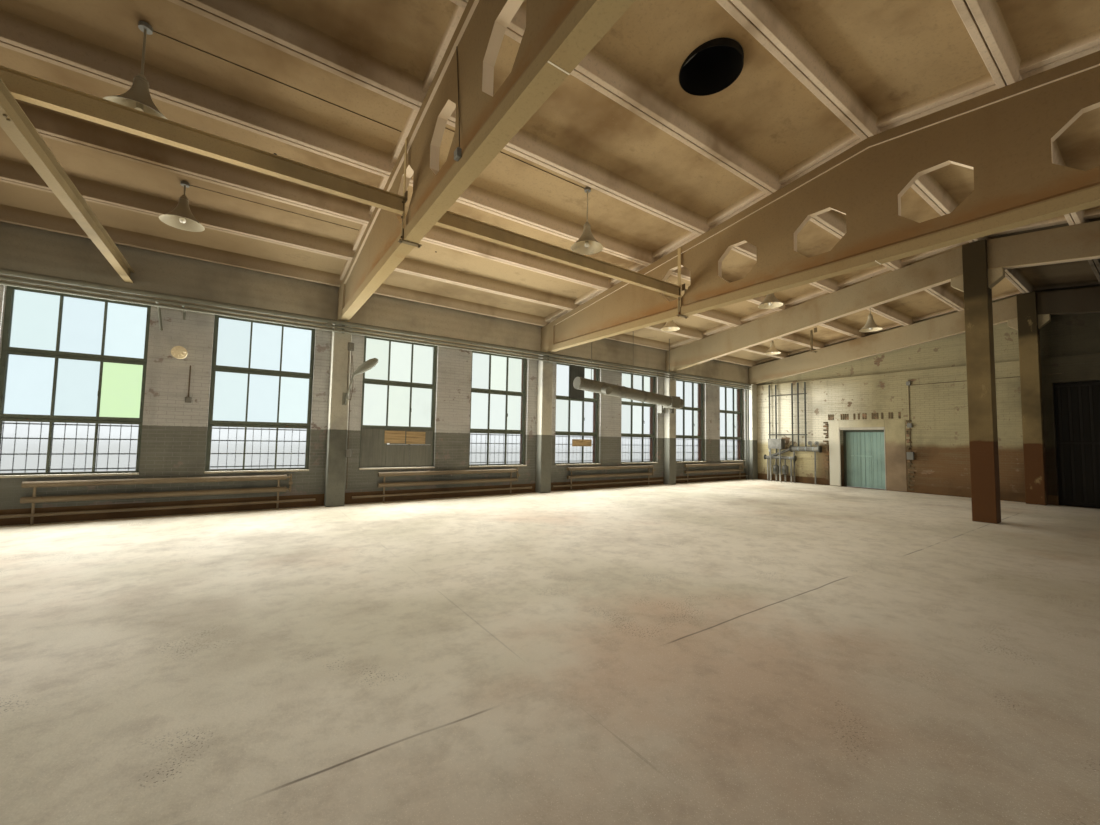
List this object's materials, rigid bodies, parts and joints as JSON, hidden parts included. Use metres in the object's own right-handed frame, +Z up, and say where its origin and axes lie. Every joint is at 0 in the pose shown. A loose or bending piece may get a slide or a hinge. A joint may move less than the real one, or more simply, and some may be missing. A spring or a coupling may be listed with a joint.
{
  "type": "single-storey factory hall",
  "caption": "Single-storey brick factory hall with gabled concrete roof beams, ribbed roof slabs, paired windows and a hinged double door.",
  "frame": {"origin": "centre of the hall's footprint at ground level", "axes": "+X along the hall towards the end wall with the door, +Y across it towards the front long wall, +Z up"},
  "size_m": [31.04, 20.2406, 7.96],
  "materials": {
    "concrete_floor": "dusty concrete",
    "render": "rough cement render",
    "brick": "painted and bare brick",
    "concrete": "aged whitewash on precast concrete",
    "felt": "bitumen felt",
    "zinc": "dull galvanised sheet",
    "frame_paint": "old olive paint",
    "window_glass": "frosted glass",
    "sill_paint": "worn light paint",
    "board": "weathered board",
    "door_paint": "worn blue-green paint",
    "dark_board": "soot-dark sheet steel",
    "steel_paint": "aged paint on rolled steel",
    "pipe_paint": "old paint with rust",
    "enamel": "dusty enamel",
    "pipe_lagging": "pale painted lagging"
  },
  "bodies": {
    "hall": {"floor_slab": "concrete_floor", "plinth": "render", "sill_walls": "brick", "window_piers": "brick", "lintel_bands": "concrete", "end_wall_corner": "brick", "end_wall_middle": "brick", "end_wall_rear_part": "brick", "end_wall_over_door": "brick", "end_wall_band": "brick", "end_gable_far": "brick", "end_wall_near": "brick", "wall_columns": "concrete", "middle_columns": "concrete", "gable_beam_1": "concrete", "gable_beam_2": "concrete", "gable_beam_3": "concrete", "inclined_beams": "concrete", "roof_slabs_bay_1": "concrete", "roof_slabs_bay_2": "concrete", "roof_slabs_bay_3": "concrete", "roof_slabs_bay_4": "concrete", "roof_slabs_bay_5": "concrete", "roof_covering_front": "felt", "roof_covering_rear": "felt", "eaves_cornices": "concrete", "rainwater_pipes": "zinc", "roof_vent": "zinc", "window_frames": "frame_paint", "window_glass": "window_glass", "window_sills": "sill_paint", "window_boards": "board", "door_frame": "frame_paint", "gateway_closing": "dark_board", "long_steel_beams": "steel_paint", "cross_steel_beam": "steel_paint", "heating_pipes": "pipe_paint", "radiators": "pipe_paint", "air_duct": "zinc", "pendant_lamps": "enamel", "wall_lamps": "enamel", "corner_pipes": "pipe_paint", "heating_manifold": "pipe_lagging"},
    "door_leaf_left": {"door_leaf_left": "door_paint"},
    "door_leaf_right": {"door_leaf_right": "door_paint"}
  },
  "joints": [
    {"name": "door_left_hinge", "type": "hinge", "parent": "hall", "child": "door_leaf_left", "pos_m": [15.412, 5.288, 1.2], "axis": [0, 0, 1], "range_deg": [0, 95]},
    {"name": "door_right_hinge", "type": "hinge", "parent": "hall", "child": "door_leaf_right", "pos_m": [15.412, 3.912, 1.2], "axis": [0, 0, -1], "range_deg": [0, 95]}
  ]
}
